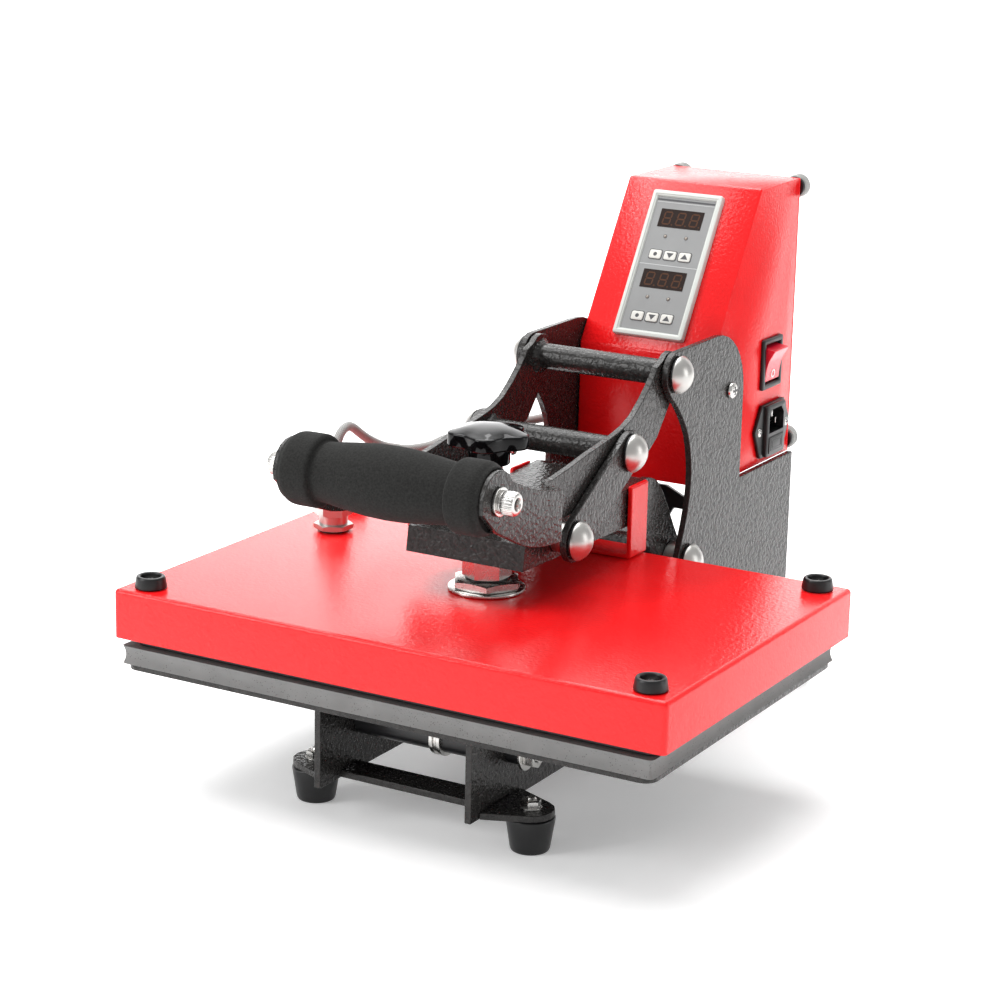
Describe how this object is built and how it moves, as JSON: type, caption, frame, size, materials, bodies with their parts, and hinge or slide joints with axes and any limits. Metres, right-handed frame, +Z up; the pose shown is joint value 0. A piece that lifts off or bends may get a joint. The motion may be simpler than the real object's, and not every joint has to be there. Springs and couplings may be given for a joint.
{
  "type": "tabletop transfer press",
  "caption": "Clam-shell tabletop heat transfer press: lever and links lift a heated platen off a padded base, with a slant-front timer and temperature box behind.",
  "frame": {"origin": "centre of the bounding box in X and Y, on the surface the feet stand on", "axes": "+X to the operator's right, +Y to the back, toward the control box, +Z up"},
  "size_m": [0.3518, 0.445, 0.3255],
  "materials": {
    "red_coat": "satin, fine orange-peel powder coat",
    "hammered_grey": "semi-gloss hammertone paint",
    "black_metal": "satin",
    "nickel": "satin",
    "zinc": "polished",
    "heat_plate": "satin, dark non-stick coating",
    "silicone": "matte, speckled",
    "foam": "matte foam",
    "black_rubber": "matte",
    "black_plastic": "gloss",
    "meter_grey": "matte",
    "meter_face": "satin",
    "display": "gloss",
    "key_plastic": "matte",
    "rocker_red": "gloss, translucent",
    "relay": "matte",
    "braid": "braided sleeve"
  },
  "bodies": {
    "stand": {"side_plate_right": "hammered_grey", "side_plate_left": "hammered_grey", "foot_bar_front": "hammered_grey", "foot_bar_back": "hammered_grey", "foot_front_right": "black_rubber", "foot_front_left": "black_rubber", "foot_back_right": "black_rubber", "foot_back_left": "black_rubber", "tie_bar_front": "black_metal", "tie_plate_back": "black_metal", "lower_platen": "hammered_grey", "silicone_pad": "silicone", "lever_shaft": "nickel", "arm_shaft": "nickel", "box_shell": "red_coat", "box_back": "red_coat", "thumbscrew_top_right": "zinc", "thumbscrew_top_left": "zinc", "thumbscrew_low_right": "zinc", "thumbscrew_low_left": "zinc", "box_screw_right": "zinc", "box_screw_left": "zinc", "meter_housing": "meter_grey", "meter_face": "meter_face", "display_board": "display", "switch_housing": "black_plastic", "mains_inlet": "black_plastic", "heater_relay": "relay", "heater_lead": "braid"},
    "arm": {"arm": "hammered_grey", "link_bolt_foot_right": "nickel", "link_bolt_foot_left": "nickel"},
    "links": {"link_right": "hammered_grey", "link_left": "hammered_grey", "link_bolt_top_right": "nickel", "link_bolt_top_left": "nickel"},
    "lever": {"lever_frame": "hammered_grey", "grip_rod": "zinc", "foam_grip": "foam", "grip_screw_right": "zinc", "grip_screw_left": "zinc"},
    "platen": {"platen_cover": "red_coat", "heat_plate": "heat_plate", "centre_post": "zinc", "guide_bracket": "red_coat", "cable_gland": "nickel", "buffer_front_right": "black_rubber", "buffer_front_left": "black_rubber", "buffer_back_right": "black_rubber", "buffer_back_left": "black_rubber"},
    "knob": {"pressure_screw": "zinc", "pressure_knob": "black_plastic"},
    "rocker": {"switch_rocker": "rocker_red"},
    "fuse_holder": {"fuse_drawer": "black_plastic"},
    "temperature_set_key": {"key_temperature_set": "key_plastic"},
    "temperature_down_key": {"key_temperature_down": "key_plastic"},
    "temperature_up_key": {"key_temperature_up": "key_plastic"},
    "time_set_key": {"key_time_set": "key_plastic"},
    "time_down_key": {"key_time_down": "key_plastic"},
    "time_up_key": {"key_time_up": "key_plastic"}
  },
  "joints": [
    {"name": "arm_lift", "type": "hinge", "parent": "stand", "child": "arm", "pos_m": [0, 0.05875, 0.106], "axis": [-1, 0, 0], "range_deg": [0, 25], "deforming": ["heater_lead"]},
    {"name": "lever_swing", "type": "hinge", "parent": "stand", "child": "lever", "pos_m": [0, 0.03455, 0.228], "axis": [-1, 0, 0], "range_deg": [0, 85.5]},
    {"name": "link_swing", "type": "hinge", "parent": "arm", "child": "links", "pos_m": [0, -0.08705, 0.1543], "axis": [1, 0, 0], "range_deg": [0, 56]},
    {"name": "knob_turn", "type": "hinge", "parent": "platen", "child": "knob", "pos_m": [0, -0.09905, 0.2], "axis": [0, 0, 1], "range_deg": [0, 541]},
    {"name": "platen_height", "type": "slide", "parent": "arm", "child": "platen", "axis": [0, 0, 1], "range_m": [0, 0.003]},
    {"name": "rocker_tip", "type": "hinge", "parent": "stand", "child": "rocker", "pos_m": [0.044, 0.17715, 0.2097], "axis": [0, -1, 0], "range_deg": [0, 22]},
    {"name": "fuse_pull", "type": "slide", "parent": "stand", "child": "fuse_holder", "axis": [1, 0, 0], "range_m": [0, 0.012]},
    {"name": "temperature_set_press", "type": "slide", "parent": "stand", "child": "temperature_set_key", "axis": [0, 0.8492, -0.5281], "range_m": [0, 0.0006], "stiffness_N_per_m": 400},
    {"name": "temperature_down_press", "type": "slide", "parent": "stand", "child": "temperature_down_key", "axis": [0, 0.8492, -0.5281], "range_m": [0, 0.0006], "stiffness_N_per_m": 400},
    {"name": "temperature_up_press", "type": "slide", "parent": "stand", "child": "temperature_up_key", "axis": [0, 0.8492, -0.5281], "range_m": [0, 0.0006], "stiffness_N_per_m": 400},
    {"name": "time_set_press", "type": "slide", "parent": "stand", "child": "time_set_key", "axis": [0, 0.8492, -0.5281], "range_m": [0, 0.0006], "stiffness_N_per_m": 400},
    {"name": "time_down_press", "type": "slide", "parent": "stand", "child": "time_down_key", "axis": [0, 0.8492, -0.5281], "range_m": [0, 0.0006], "stiffness_N_per_m": 400},
    {"name": "time_up_press", "type": "slide", "parent": "stand", "child": "time_up_key", "axis": [0, 0.8492, -0.5281], "range_m": [0, 0.0006], "stiffness_N_per_m": 400}
  ],
  "couplings": [
    {"joint": "lever_swing", "follows": "arm_lift", "ratio": 3.4},
    {"joint": "link_swing", "follows": "arm_lift", "ratio": 2.22},
    {"joint": "knob_turn", "follows": "platen_height", "rad_per_m": 3141.6}
  ]
}
